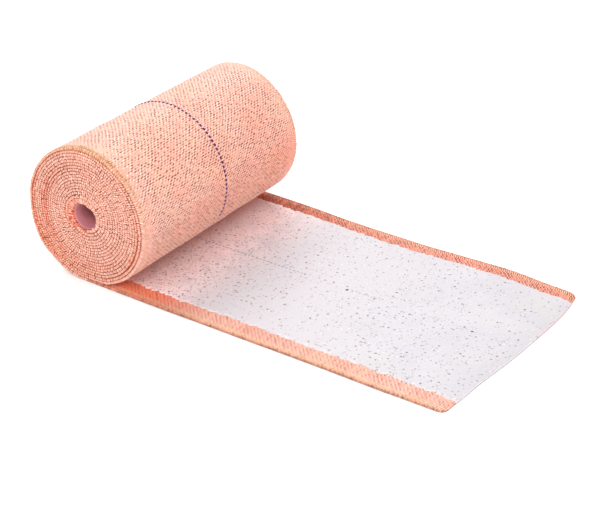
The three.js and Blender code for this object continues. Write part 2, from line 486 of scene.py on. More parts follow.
# One material and its nodes, with the colour painted so far and the place that its noise follows.
class Look:
    def __init__(self, name):
        self.material = bpy.data.materials.new(name)
        self.material.use_nodes = True
        self.tree = self.material.node_tree
        self.tree.nodes.clear()
        output = self.tree.nodes.new("ShaderNodeOutputMaterial")
        self.surface = self.tree.nodes.new("ShaderNodeBsdfPrincipled")
        self.tree.links.new(self.surface.outputs[0], output.inputs["Surface"])
        self.colour = None
        self.place = None

    def feed(self, socket, value):
        if isinstance(value, bpy.types.NodeSocket):
            self.tree.links.new(value, socket)
        else:
            socket.default_value = value

    def node(self, kind, inputs, output=0, **settings):
        made = self.tree.nodes.new("ShaderNode" + kind)
        for name, value in settings.items():
            setattr(made, name, value)
        for name, value in inputs.items():
            self.feed(made.inputs[name], value)
        return made.outputs[output]

    def math(self, operation, *values):
        return self.node("Math", dict(enumerate(values)), operation=operation)

    def add(self, *values):
        return reduce(lambda first, second: self.math("ADD", first, second), values)

    def times(self, *values):
        return reduce(lambda first, second: self.math("MULTIPLY", first, second), values)

    def scaled(self, value, factor, offset):
        return self.math("MULTIPLY_ADD", value, factor, offset)

    # What a value leaves of a whole.
    def less(self, value, whole=1.0):
        return self.math("SUBTRACT", whole, value)

    # One cosine wave for each step of 1 in the value.
    def wave(self, value):
        return self.math("COSINE", self.times(value, FULL_TURN))

    def ramp(self, value, low, high, to_low=0.0, to_high=1.0):
        inputs = {0: value, 1: low, 2: high, 3: to_low, 4: to_high}
        return self.node("MapRange", inputs, interpolation_type="SMOOTHSTEP")

    def mix(self, share, first, second):
        inputs = {0: share, 6: linear(first), 7: linear(second)}
        return self.node("Mix", inputs, 2, data_type="RGBA", clamp_factor=True)

    # Lays a colour over what is there.
    def paint(self, share, colour):
        self.colour = self.mix(share, self.colour, colour)

    def noise(self, scale, detail=2.0, roughness=0.5, output=0, vector=None):
        inputs = {"Vector": vector or self.place, "Scale": scale, "Detail": detail, "Roughness": roughness}
        return self.node("TexNoise", inputs, output)

    def attribute(self, name):
        return self.node("Attribute", {}, output=2, attribute_name=name)

    # Three chances from 0 to 1 that are the same all over one numbered thread or cell.
    def chances(self, number, dimensions):
        socket = "W" if dimensions == "1D" else "Vector"
        colour = self.node("TexWhiteNoise", {socket: number}, 1, noise_dimensions=dimensions)
        return self.parts(colour)

    def join(self, first, second):
        return self.node("CombineXYZ", {0: first, 1: second})

    def parts(self, vector):
        return [self.node("SeparateXYZ", {0: vector}, output=place) for place in range(3)]

    # Takes the place on the flat cloth in millimetres, and gives the distances across and along.
    def cloth_place(self):
        flat = self.node("UVMap", {}, uv_map="cloth")
        self.place = self.node("VectorMath", {0: flat, 3: 1 / MM}, operation="SCALE")
        return self.parts(self.place)[:2]

    def bump(self, height, distance):
        inputs = {"Height": height, "Distance": distance * MM}
        self.feed(self.surface.inputs["Normal"], self.node("Bump", inputs))

    def finish(self, roughness, specular, sheen=0.0):
        inputs = {"Base Color": self.colour, "Roughness": roughness, "Specular IOR Level": specular}
        if sheen:
            inputs |= {"Sheen Weight": sheen, "Sheen Roughness": 0.45, "Sheen Tint": linear((255, 246, 242))}
        for name, value in inputs.items():
            self.feed(self.surface.inputs[name], value)
        return self.material


# Linear colour of a tuple of three sRGB values. Any other colour stays as it is.
def linear(colour):
    if not isinstance(colour, tuple):
        return colour
    shares = [value / 255 for value in colour]
    return [share / 12.92 if share <= 0.04045 else ((share + 0.055) / 1.055) ** 2.4 for share in shares] + [1]


# Sunk and raised places of the weave, each from 0 to about 1.4, and no two of the same strength. They are
# drawn out along ribs, which slant one way on the cloth's outer side and the other way on its inner side.
def weave(look, across, along, slant=1, sinking=(-0.1, -0.9)):
    wander = look.parts(look.noise(0.45, 2.0, 0.6, output=1))
    ragged = look.noise(1.3, 2.0, 0.6)
    across = look.add(across, look.scaled(wander[0], 0.8, -0.4))
    along = look.add(along, look.scaled(wander[1], 0.8, -0.4))
    rib = look.add(look.times(across, 1 / WARP_PERIOD), look.times(along, -slant / WEFT_PERIOD))
    row = look.times(along, 2 / WEFT_PERIOD)
    height = look.add(
        look.times(look.wave(rib), RIB_SHARE),
        look.times(look.wave(row), 1 - RIB_SHARE),
        look.scaled(ragged, 2.2, -1.1),
    )
    found = []
    for rounding, low, high in (("FLOOR", *sinking), ("ROUND", 0.1, 0.95)):
        cell = look.join(look.math(rounding, rib), look.math(rounding, row))
        chance = look.chances(cell, "2D")[0]
        strength = look.math("MAXIMUM", look.scaled(chance, 1.35, 0.08), 0.0)
        found.append(look.times(look.ramp(height, low, high), strength))
    return found


# Slanting threads beside the selvedge.
def paint_fringe(look, along, from_edge, dashes, pit):
    dash = look.wave(look.less(look.times(from_edge, 1 / 2.2), look.times(along, 1 / BEAD_PITCH)))
    fringe = look.times(look.ramp(from_edge, 3.2, 2.2), look.ramp(from_edge, 0.9, 1.2), dashes)
    look.paint(look.times(look.ramp(dash, 0.0, 0.7), fringe), LIGHT_FRINGE)
    look.paint(look.times(look.ramp(dash, -0.1, -0.8), fringe), pit)


# Threads of the selvedge, no two alike, with a painted highlight where each stands out, painted shade between
# them and deep between the turns, and a painted orange glow in that shade where the cloth runs to orange. The
# shade's tint also lies in specks over the edges.
def paint_selvedge(look, along, edge, shares, groove_shade, shade_glow, grooving, speckling):
    deep, bead, orange, yellow = (shares[name] for name in ("deep", "bead", "orange", "yellow"))
    thread = look.math("ROUND", look.times(along, 1 / BEAD_PITCH))
    first, second, third = look.chances(thread, "1D")
    # Painted highlight where a thread stands out
    standing_highlight = look.times(bead, look.scaled(first, 0.9, 0.2), look.less(deep))
    drawn_in = look.math("MAXIMUM", look.times(bead, -1.0), 0.0)
    # Painted shade between the threads, and in the grooves between the turns
    between = look.times(drawn_in, look.scaled(second, 1.5, 0.4), look.scaled(deep, 0.9, 0.1))
    dark = look.add(between, look.times(deep, look.scaled(second, 0.2, grooving)))
    shadow = look.mix(look.ramp(third, 0.2, 0.8), groove_shade[0], groove_shade[1])
    shadow = look.mix(orange, shadow, look.mix(second, shade_glow[0], shade_glow[1]))
    shadow = look.mix(look.times(yellow, 0.75), shadow, GOLDEN_SHADOW)
    tinted = look.scaled(look.math("MAXIMUM", orange, yellow), 0.7, 0.3)
    grain = look.ramp(look.noise(1.9, 1.0, 0.5), 0.5, 0.6)
    look.paint(standing_highlight, THREAD_HIGHLIGHT)
    look.paint(look.times(tinted, grain, edge, speckling), shadow)
    look.paint(dark, shadow)


def cloth_material(
    name, light, middle, shade, pit, side, warm_shade, groove_shade, shade_glow,
    slant, sinking, edge_pits, edge_reach, warming, grooving, dashes, speckling, sheen, specular,
):
    look = Look(name)
    across, along = look.cloth_place()
    shares = {name: look.attribute(name) for name in SHARES}
    sunk, raised = weave(look, across, along, slant, sinking)
    from_edge = look.math("MINIMUM", across, look.less(across, CLOTH_WIDTH))
    pits = look.scaled(shares["deep"], 0.8, edge_pits)
    sunk = look.times(sunk, look.ramp(from_edge, *edge_reach, pits, 1.0))
    edge = look.ramp(from_edge, 2.2, 1.2)
    grain = look.noise(1.7, 2.0, 0.65)
    broad = look.noise(0.05, 3.0, 0.55)
    tawny = look.parts(look.noise(0.08, output=1))[1]
    # Share of painted warm orange shade
    warm_shade_share = look.times(shares["orange"], look.scaled(shares["orange"], 0.5, warming))
    look.colour = middle
    # Painted highlight on the weave's raised places
    look.paint(look.ramp(raised, 0.0, 0.9), light)
    look.paint(look.ramp(broad, 0.35, 0.7, 0.0, 0.5), shade)
    look.paint(look.ramp(tawny, 0.45, 0.7, 0.0, 0.3), TAWNY)
    # Painted shade along the selvedge
    look.paint(look.times(edge, 0.7), side)
    # Painted warm orange shade
    look.paint(warm_shade_share, warm_shade)
    look.paint(look.times(shares["yellow"], 0.75), GOLDEN)
    look.paint(look.ramp(grain, 0.46, 0.28, 0.0, 0.5), light)
    look.paint(look.ramp(grain, 0.52, 0.74, 0.0, 0.6), pit)
    # Painted shade in the weave's sunk places
    look.paint(sunk, pit)
    paint_fringe(look, along, from_edge, dashes, pit)
    paint_selvedge(look, along, edge, shares, groove_shade, shade_glow, grooving, speckling)
    look.paint(shares["knot"], KNOT)
    fibres = look.times(look.noise(5.0, 3.0, 0.7), 0.35)
    look.bump(look.add(look.times(raised, 0.5), look.times(sunk, -1.0), fibres), 0.17)
    return look.finish(0.52, specular, sheen)


# Looks of the cloth on its outer side, at the ends of the turns and on its inner side. First come the tints:
# light is a painted highlight where a thread stands out, and also lies here and there at random; pit is
# painted shade where the weave sinks, and also the dark of the fringe's dashes and of random grain; shade is
# a darker tone in broad patches; side is painted shade along the selvedge; warm is painted warm orange shade;
# and groove and glow are the painted shade between the selvedge's threads and turns, and its painted glow.
CLOTH_LOOKS = {
    "name": ("cloth", "cloth_ends", "cloth_inside"),
    "light": ((226, 210, 197), (236, 211, 194), (242, 200, 186)),
    "middle": ((219, 160, 142), (221, 161, 143), (208, 144, 128)),
    "shade": ((233, 152, 130), (222, 150, 130), (194, 124, 104)),
    "pit": ((124, 62, 46), (152, 70, 50), (128, 56, 40)),
    "side": ((220, 152, 132), (218, 158, 139), (210, 152, 130)),
    "warm_shade": ((226, 108, 72), (222, 104, 72), (236, 112, 72)),
    "groove_shade": (
        ((124, 60, 42), (182, 104, 80)),
        ((148, 60, 40), (196, 104, 78)),
        ((134, 64, 46), (190, 108, 86)),
    ),
    "shade_glow": (
        ((220, 88, 54), (152, 56, 38)),
        ((220, 88, 54), (152, 56, 38)),
        ((184, 82, 56), (124, 50, 36)),
    ),
    "slant": (1, 1, -1),
    "sinking": ((0.0, -0.85), (-0.1, -0.9), (0.2, -0.6)),
    "edge_pits": (0.4, 1.0, 0.48),
    "edge_reach": ((2.5, 9), (2.5, 9), (9, 14)),
    "warming": (0.25, 0.1, 0.45),
    "grooving": (0.3, 0.0, 0.4),
    "dashes": (0.2, 0.35, 0.7),
    "speckling": (0.8, 0.8, 0.5),
    "sheen": (0.1, 0.0, 0.0),
    "specular": (0.3, 0.1, 0.15),
}


# Specks of one size: each cell of a net has one, or none. Gives their share, from 0 to 1, and a chance that
# is the same all over a speck.
def specks(look, place, pitch, kept, smallest, largest):
    cells = look.tree.nodes.new("ShaderNodeTexVoronoi")
    cells.voronoi_dimensions = "2D"
    cells.inputs["Scale"].default_value = 1 / pitch
    cells.inputs["Randomness"].default_value = 1.0
    look.feed(cells.inputs["Vector"], place)
    first, second, third = look.parts(cells.outputs["Color"])
    chosen = look.math("LESS_THAN", first, kept)
    size = look.scaled(second, (largest - smallest) / pitch, smallest / pitch)
    spot = look.ramp(cells.outputs["Distance"], size, look.times(size, 0.4))
    return look.times(spot, chosen), third


# Specks, thicker beside the roll and near the cut end's near corner. Gives how far they are sunk.
def paint_specks(look, across, out):
    patchy = look.ramp(look.noise(0.03), 0.3, 0.65, 0.6, 1.0)
    beside_roll = look.times(look.ramp(out, 58, 30), look.ramp(across, 75, 35, 0.6, 2.0))
    near_corner = look.times(look.ramp(out, 80, 140), look.ramp(across, 55, 30), 0.5)
    thinning = look.times(look.ramp(out, 80, 150), -0.35)
    crowd = look.times(patchy, look.add(1.0, beside_roll, near_corner, thinning))
    stretched = look.node("VectorMath", {0: look.place, 1: (0.85, 1.0, 1.0)}, operation="MULTIPLY")
    sunk = 0.0
    for row in SPECKS:
        kept = look.times(crowd, row["kept"])
        speck, chance = specks(look, stretched, row["pitch"], kept, *row["sizes"])
        tint = look.mix(chance, row["first"], row["second"])
        look.paint(look.times(speck, look.scaled(chance, 0.6, 0.4), row["strength"]), tint)
        sunk = look.add(sunk, look.times(speck, -0.8))
    return sunk


# Centre thread, which shows through the adhesive here and there, and the lint near it.
def paint_centre_line(look, across, along, out):
    off_line = look.math("ABSOLUTE", look.less(50.6, across))
    stitch = look.wave(look.times(along, 1 / WEFT_PERIOD))
    here_and_there = look.ramp(look.noise(0.06, 2.0, 0.6, vector=look.join(along, 0.0)), 0.45, 0.6)
    showing = look.math("MAXIMUM", here_and_there, look.ramp(out, 64, 54, 0.0, 1.25))
    line = look.times(look.ramp(off_line, 0.42, 0.14), look.ramp(stitch, -0.3, 0.5), showing)
    look.paint(look.times(line, 0.7), (104, 92, 108))
    for lint in LINT:
        ends = {0: look.join(across, out), 1: (lint["y"], lint["x"], 0)}
        off = look.node("VectorMath", ends, output=1, operation="DISTANCE")
        look.paint(look.ramp(off, lint["radius"], lint["radius"] * 0.6), (44, 38, 50))


# Cut end, with painted light on its upper rows, and its lower rim mauve towards the far corner and dotted
# grey towards the near one.
def paint_cut_end(look, across):
    dots = look.ramp(look.wave(look.times(across, 1 / 1.3)), -0.2, 0.6, 0.15, 1.0)
    far_part = look.ramp(across, 56, 66)
    rim_share = look.math("MAXIMUM", dots, far_part)
    # Painted light on the cut end's upper rows
    look.paint(look.times(look.attribute("bead"), 0.7), (236, 230, 233))
    rim_colour = look.mix(far_part, (120, 112, 116), (196, 96, 122))
    look.paint(look.times(look.attribute("deep"), rim_share, 0.9), rim_colour)


def adhesive_material():
    look = Look("adhesive")
    across, along = look.cloth_place()
    sunk, raised = weave(look, across, along)
    out = look.less(WOUND_LENGTH, along)
    cloudy = look.parts(look.noise(0.045, 3.0, 0.55, output=1))
    blotchy = look.noise(0.12, 3.0, 0.6)
    look.colour = (187, 181, 185)
    look.paint(look.ramp(cloudy[0], 0.35, 0.65), (181, 176, 180))
    look.paint(look.ramp(cloudy[1], 0.5, 0.7, 0.0, 0.4), (188, 183, 179))
    look.paint(look.ramp(cloudy[2], 0.5, 0.7, 0.0, 0.4), (180, 178, 187))
    # Duller towards the roll; beside it a painted pink reflection of its cloth in blotches, and painted shade
    # that is darkest and warmest in the nip
    roll_bounce = look.times(look.ramp(out, 56, 26), look.ramp(blotchy, 0.3, 0.65, 0.5, 1.0))
    look.paint(look.ramp(out, 125, 85), (184, 178, 182))
    look.paint(look.times(roll_bounce, 0.75), (246, 217, 215))
    look.paint(look.ramp(out, 36, 26, 0.0, 0.3), (244, 200, 196))
    look.paint(look.ramp(out, 21, 9, 0.0, 0.75), (208, 136, 120))
    # Paler here and there where it thins out at its margins
    thin = look.times(look.attribute("yellow"), look.ramp(blotchy, 0.4, 0.6))
    look.paint(look.times(thin, 0.45), (232, 214, 206))
    # Painted shade in the weave's pits, stronger beside the roll
    look.paint(look.times(sunk, look.scaled(roll_bounce, 0.25, 0.1)), (150, 110, 110))
    specked = paint_specks(look, across, out)
    paint_centre_line(look, across, along, out)
    paint_cut_end(look, across)
    grain = look.times(look.noise(2.0, 3.0, 0.6), 0.6)
    height = look.add(grain, specked, look.times(raised, 0.3), look.times(sunk, -0.3))
    look.bump(height, 0.07)
    return look.finish(0.5, 0.35)


# Painted shade: the core is browner and darker further into the bore.
def core_material():
    look = Look("core")
    across = look.cloth_place()[0]
    look.colour = (190, 122, 130)
    look.paint(look.ramp(across, 2.0, 16), (136, 70, 56))
    look.paint(look.ramp(look.noise(0.6, 3.0, 0.6), 0.3, 0.7, 0.0, 0.3), (170, 98, 94))
    return look.finish(0.4, 0.5)


def plain_material(name, tint, roughness, relief=0.0):
    look = Look(name)
    look.place = look.node("TexCoord", {}, output=3)
    grain = look.noise(900.0, 3.0, 0.6)
    darker = [value * 0.85 for value in linear(tint)[:3]] + [1]
    look.colour = look.mix(grain, darker, tint)
    if relief:
        look.bump(grain, relief)
    return look.finish(roughness, 0.5)


# Wound turns

# Points of a selvedge from its turn's inner side to its outer side. The first and the last lie deep between
# the turns, and the seven between them go round the tip at these angles. The outermost turn has nothing over
# it, so the outer half of its selvedges is exposed. How hidden each point is sets the painted shade there.
BEAD_ANGLES = np.radians([-90, -60, -30, 0, 30, 60, 90])
BEAD_ACROSS = np.array([1.6, 0.9, 0.6, 0.3, 0.0, 0.3, 0.6, 0.9, 1.6])
BEAD_HIDDEN = np.array([1, 1, 0.45, 0.05, 0.0, 0.05, 0.45, 1, 1])
BEAD_EXPOSED = BEAD_HIDDEN * [1, 1, 1, 1, 1, 0.3, 0.1, 0, 0]
BEAD_RADIAL = np.array([0, 0, 0.07, 0.25, 0.5, 0.75, 0.93, 1, 1])
BEAD_TIP = 4


# Radii of a turn's inner side and then of its outer side, each deep between its neighbours and at the edge.
def selvedge_sides(turns, angle, gaps):
    lean = LEAN * (0.5 + 0.5 * np.cos(angle - math.radians(LEAN_TOWARDS)))
    lean = lean + LEAN_MORE * bell(LEAN_SIDE, LEAN_REACH, angle)
    bulge = BULGE * bell(BULGE_SIDE, BULGE_REACH, angle)

    def side(at, way):
        given_way = limited((BULGE_ENDS - at) / (BULGE_ENDS - BULGE_TURNS))
        out = bulge * limited(0.35 + at) * given_way
        touching = inner_side(at) + way * TURN_GAP / 2
        leaning = lean * limited(1 - at / LEAN_TURNS)
        return touching, touching + way * gap_width(gaps, at) / 2 - leaning + out

    return *side(turns, 1), *side(turns + 1, -1)


# One end of each turn: rows of points round the selvedge from the turn's inner side to its outer side.
# Inward is +1 at the near end and -1 at the far end.
def selvedge(turns, lengths, rows, gaps, patches, knots, edge, inward, seed):
    turns = turns[:, None]
    lengths = lengths[:, None]
    angle = winding_angle(turns)
    inner_deep, inner, outer_deep, outer = selvedge_sides(turns, angle, gaps)
    back = stand_back(rows, turns + 0.5, angle) + SELVEDGE_WANDER * wobble(lengths, 23, seed)
    rng = np.random.default_rng(seed)
    count = int(lengths[-1, 0] / BEAD_PITCH) + 3
    beads = 1 + BEAD_UNEVEN * rng.uniform(-1, 1, count)
    shifts = BEAD_SHIFT * rng.uniform(-1, 1, count)
    number = np.round(lengths / BEAD_PITCH).astype(int)
    out, level = np.cos(BEAD_ANGLES), np.sin(BEAD_ANGLES)
    drift = BEAD_DRIFT * wobble(lengths, 13, seed + 20)
    phase = FULL_TURN * (lengths / BEAD_PITCH + drift) + BEAD_TWIST * level
    swell = np.cos(phase) * beads[number]
    first_turn = limited(1.2 - turns)
    middle = (inner + outer) / 2 + shifts[number]
    half = (outer - inner) / 2 - BEAD_SQUEEZE * (1 + first_turn) * (0.5 - 0.5 * swell)
    ragged = first_turn * CORE_RAGGED * shifts[number // 2] / BEAD_SHIFT
    radius = middle + half * level + ragged * limited(-level)
    depth = back + BEAD_DEPTH * (1 - out) - BEAD_SWELL * swell * out
    deep_depth = back + SIDE_DEPTH
    radius = np.hstack([inner_deep, radius, outer_deep])
    y = edge + inward * np.hstack([deep_depth, depth, deep_depth])
    x, z = place_round(radius, angle)
    across = BEAD_ACROSS if inward > 0 else CLOTH_WIDTH - BEAD_ACROSS
    place = turns + BEAD_RADIAL
    # Shares for the painted shade, highlight and orange glow of the selvedge, its yellow and its knots
    shares = {
        "deep": BEAD_HIDDEN,
        "bead": np.pad(swell, ((0, 0), (1, 1)), mode="edge"),
        "orange": patch_share(patches, place, angle, "orange"),
        "yellow": patch_share(patches, place, angle, "yellow"),
        "knot": knot_share(knots, x, z),
    }
    return (x, y, z), across, lengths, shares


def both_selvedges(turns, lengths):
    near = selvedge(turns, lengths, NEAR_END, NEAR_GAPS, NEAR_PATCHES, NEAR_KNOTS, 0, 1, 11)
    far = selvedge(turns, lengths, FAR_END, FAR_GAPS, NEAR_PATCHES[:2], [], CLOTH_WIDTH, -1, 12)
    return near, far


def wound_turns(start, end):
    turns, lengths = even_turns(start, end, BEAD_STEP)
    form = Form()
    near, far = (
        form.grid(places, across, along, **shares)
        for places, across, along, shares in both_selvedges(turns, lengths)
    )
    form.join(near[:, -1], far[:, -1])
    form.join(far[:, 0], near[:, 0])
    for row in (0, -1):
        form.cap([*near[row], *far[row, ::-1]])
    return form


def weave_relief(across, along, slant):
    return WEAVE_RELIEF * np.cos(FULL_TURN * (across / WARP_PERIOD - slant * along / WEFT_PERIOD))


# Woven outer side of the outermost turn between its two selvedges, with columns half a millimetre apart.
def outer_face(form, turns, along, near_y, far_y):
    angle = winding_angle(turns)
    outer = winding_radius(turns + 1) - TURN_GAP / 2
    share = np.arange(3, 2 * CLOTH_WIDTH - 2) / (2 * CLOTH_WIDTH)
    across = share * CLOTH_WIDTH
    y = near_y + (far_y - near_y) * share
    settle = limited((across - 1) / 2) * limited((CLOTH_WIDTH - 1 - across) / 2)
    y = y + OUTER_SWAY * settle * wobble(y + 0.31 * along, 31, 21)
    slip = OUTER_SLIP * settle * wobble(along + 0.4 * y, 37, 22)
    swell = OUTER_SWELL * settle * wobble(y + 0.2 * along, 43, 23)
    radius = outer + weave_relief(across, along, 1) + swell
    turned = angle + slip / outer
    x, z = place_round(radius, turned)
    # Painted warm orange shade low on the loose end's side
    low_side = bell(WARM_SIDE, WARM_REACH, angle) * limited((y + 10) / CLOTH_WIDTH)
    seam_width = SEAM_WIDTH + SEAM_RAGGED * wobble(along, 11, 24)
    seam = bell(SEAM_SIDE, SEAM_REACH, angle) * limited((seam_width - across) / SEAM_FADE)
    shares = {"orange": WARM_SHARE * low_side, "yellow": seam, "deep": 0.5 * seam}
    return form.grid((x, y, z), across, along, **shares)


def outermost_turn():
    turns, lengths = even_turns(TURNS - 1, TURNS, BEAD_STEP)
    if len(turns) % 2 == 0:
        turns, lengths = turns[:-1], lengths[:-1]
    form = Form()
    tips = []
    rims = []
    for places, across, along, shares in both_selvedges(turns, lengths):
        shares["deep"] = BEAD_EXPOSED
        kept = {name: values[..., :-1] for name, values in shares.items()}
        tips.append(places[1][::2, BEAD_TIP, None])
        rims.append(form.grid([values[:, :-1] for values in places], across[:-1], along, **kept))
    near, far = rims
    form.join(far[:, 0], near[:, 0])
    face = outer_face(form, turns[::2, None], lengths[::2, None], *tips)
    form.join_half(near[:, -1], face[:, 0])
    form.join_half(far[:, -1], face[:, -1])
    for row in (0, -1):
        form.cap([*near[row], *face[row], *far[row, ::-1]])
    return form


# Loose end

def near_edge(x):
    return column(LONG_EDGES, "x", x, "near")


def far_edge(x):
    return CLOTH_WIDTH - column(LONG_EDGES, "x", x, "far")


def coat_wave(x, phase):
    return COAT_WAVE * (0.6 * np.sin(x / 9 + phase) + 0.4 * np.sin(x / 2.3 + 2 * phase))


# Uneven saw teeth, where the adhesive's margin follows one thread for a while and then steps to the next.
def coat_teeth(x, seed):
    rng = np.random.default_rng(seed)
    steps = np.cumsum(COAT_TOOTH * rng.uniform(0.35, 1.65, COAT_TEETH))
    depth = COAT_TOOTH_DEPTH * rng.uniform(0.2, 1.3, COAT_TEETH)
    place = np.clip(np.searchsorted(steps, x, side="right"), 1, COAT_TEETH - 1)
    part = (x - steps[place - 1]) / (steps[place] - steps[place - 1])
    return depth[place] * (limited(part) - 0.5) + 0.22 * rng.uniform(-1, 1, len(x))


# Rows of the loose end from the roll's bottom to the cut end, with both corners rounded.
def tail_rows(start, corner):
    straight = LOOSE_END_LENGTH - corner - start
    count = int(round(straight / BEAD_PITCH * 2))
    x = start + straight * np.arange(count) / count
    turned = np.radians(np.linspace(0, 90, 8))
    rounded = LOOSE_END_LENGTH - corner * (1 - np.sin(turned))
    x = np.append(x, rounded)
    inset = np.append(np.zeros(count), corner * (1 - np.cos(turned)))
    share = (x - start) / (LOOSE_END_LENGTH - start)
    return x, inset, share


def place_rows(x, inset, share, start, across_share, near, far, past_end):
    low = (near(x) + inset)[:, None]
    high = (far(x) - inset)[:, None]
    y = low + (high - low) * across_share
    end = column(CUT_END, "y", y, "x") + past_end
    return start + (end - start) * share[:, None], y


# The cloth thins towards the cut end, where it was pressed between the blades.
def pressed(x, y):
    from_end = column(CUT_END, "y", y, "x") - x
    return 1 - CUT_PRESS * limited(1 - from_end / CUT_REACH) ** 2


# Share that is 1 beside the roll and fades to 0 at a place along the loose end.
def fading(x, end, fade):
    return limited((end - x) / fade)[:, None]


# Places across the loose cloth, close together in its two bare margins.
def loose_columns():
    near_margin = np.arange(1, 19) * 0.5
    far_margin = CLOTH_WIDTH - np.arange(1, 18)[::-1] * 0.5
    middle = np.linspace(near_margin[-1], far_margin[0], 12)[1:-1]
    return np.concatenate([near_margin, middle, far_margin])


# Upper and lower face of the loose cloth.
def loose_faces(form, rows, along):
    x = rows[0]
    across = loose_columns()
    px, py = place_rows(*rows, TAIL_START, across / CLOTH_WIDTH, near_edge, far_edge, 0)
    py = py + 0.15 * wobble(py + 0.5 * px, 29, 33)
    beside_roll = fading(x, **BESIDE_ROLL)
    at_nip = fading(x, **AT_NIP)
    near_half = across < CLOTH_WIDTH / 2
    # Painted warm shade at the nip and beside the roll; the far margin is a little orange all along
    orange = np.where(near_half, 0.85 * at_nip, 0.36 + 0.64 * beside_roll)
    yellow = 0.35 * limited((2.6 - across) / 1.2) * (1 - 0.8 * beside_roll)
    # Painted shadow of the roll on the far margin, which is a little darker all along
    dark = np.where(near_half, 0.05, 0.4 + 0.6 * fading(x, **UNDER_ROLL))
    # Painted highlight on the near margin's threads, fading at the nip
    standing_highlight = np.where(near_half, 0.2, 0.0) * (1 - 0.9 * at_nip)
    height = CLOTH_THICKNESS * pressed(px, py) - 0.05 + 0.4 * weave_relief(across, along, -1)
    shares = {"orange": orange, "yellow": yellow, "deep": dark, "bead": standing_highlight}
    upper = form.grid((px, py, height), across, along, **shares)
    return upper, form.grid((px, py, 0.0), across, along, orange=orange)


# One long edge of the loose cloth, a row of thread loops that is stronger on the near side.
def loose_side(form, rows, along, swell, edge, inward, beaded, tinted):
    angles = np.radians([-60, -20, 20, 60])
    px, py = place_rows(*rows, TAIL_START, edge / CLOTH_WIDTH, near_edge, far_edge, 0)
    half = CLOTH_THICKNESS / 2 * pressed(px, py)
    y = py + inward * (BEAD_DEPTH * (1 - np.cos(angles)) - 0.2 * swell * np.cos(angles))
    z = half + (half - 0.06) * np.sin(angles) * (1 + 0.08 * swell)
    beside_roll = fading(rows[0], **BESIDE_ROLL)
    # Painted warm shade beside the roll
    orange = 0.4 * tinted * beside_roll
    yellow = 0.3 * tinted * (1 - 0.7 * beside_roll)
    # Painted highlight and shade on the thread loops
    bead = beaded * swell * np.cos(angles)
    # The edge rows take some painted shade too
    shares = {"bead": bead, "deep": 0.4, "orange": orange, "yellow": yellow}
    return form.grid((px, y, z), edge + inward * 0.1, along, **shares)


def loose_cloth():
    rows = tail_rows(TAIL_START, CORNER_RADIUS)
    count = len(rows[0])
    along = (WOUND_LENGTH + rows[0])[:, None]
    beads = np.where(np.arange(count) % 2 == 0, 1.0, -1.0)[:, None]
    swell = beads * (1 + 0.3 * np.random.default_rng(31).uniform(-1, 1, (count, 1)))
    form = Form()
    upper, lower = loose_faces(form, rows, along)
    near = loose_side(form, rows, along, swell, edge=0, inward=1, beaded=1.5, tinted=1.0)
    far = loose_side(form, rows, along, swell, edge=CLOTH_WIDTH, inward=-1, beaded=0.9, tinted=0.45)
    form.join(near[:, -1], upper[:, 0])
    form.join(lower[:, 0], near[:, 0])
    form.join(far[:, 0], lower[:, -1])
    form.join(upper[:, -1], far[:, -1])
    # Cut end and the hidden end under the roll
    for row in (0, -1):
        form.join(upper[row], lower[row])
        form.cap([lower[row, 0], *near[row], upper[row, 0]])
        form.cap([lower[row, -1], *far[row], upper[row, -1]])
    return form


# The adhesive covers the cloth between its margins, and the cut end down nearly to the surface.
def adhesive_film():
    start = 1.5
    x, inset, share = tail_rows(start, 0.25)
    inset = inset + COAT_WAVE * 0.5

    def near(at):
        return near_edge(at) + COAT_NEAR_MARGIN + coat_wave(at, 0.4) + coat_teeth(at, 41)

    def far(at):
        return far_edge(at) - COAT_FAR_MARGIN + coat_wave(at, 2.1) + 0.8 * coat_teeth(at, 42)

    margin = np.array([0, 0.004, 0.009, 0.016])
    across = np.concatenate([margin, np.linspace(0.024, 0.976, 100), 1 - margin[::-1]])
    px, py = place_rows(x, inset, share, start, across, near, far, 0.02)
    uneven = 0.02 * wobble(px + py, 17, 42) + 0.015 * wobble(px - 0.6 * py, 7, 43)
    from_margin = np.minimum(py - py[:, :1], py[:, -1:] - py)
    coat = (COAT_THICKNESS - 0.05 + uneven) * limited(from_margin / COAT_FEATHER) ** 0.7
    pz = (CLOTH_THICKNESS - 0.03) * pressed(px, py) + coat + 0.02
    thin = limited(1 - from_margin / 1.3)
    # Down over the cut end
    out, height, light, rim = (np.array([[row[name]] for row in CUT_ROWS]) for name in CUT_ROWS[0])
    more_rows = ((0, len(CUT_ROWS)), (0, 0))
    px = np.vstack([px, px[-1] + out])
    py = np.pad(py, more_rows, mode="edge")
    pz = np.vstack([pz, pz[-1] * height])
    on_cloth = np.zeros((len(x), 1))
    shares = {
        "deep": np.vstack([on_cloth, rim]),
        "bead": np.vstack([on_cloth, light]),
        "yellow": np.pad(thin, more_rows),
    }
    along = WOUND_LENGTH + np.pad(x[:, None], more_rows, mode="edge")
    form = Form()
    upper = form.grid((px, py, pz), py, along, **shares)
    # Underside, set a little into the cloth
    sides = [0, -1]
    under_x = px[:, sides].copy()
    under_x[-len(CUT_ROWS):] = px[len(x) - 1, sides] - 0.06
    under_z = pz[:, sides] - 0.1
    under_z[-1] = pz[-1, sides]
    lower = form.grid((under_x, py[:, sides], under_z), py[:, sides], along)
    form.join(lower[:, 0], upper[:, 0])
    form.join(upper[:, -1], lower[:, -1])
    for row in (0, -1):
        form.cap([*upper[row], *lower[row, ::-1]])
    return form


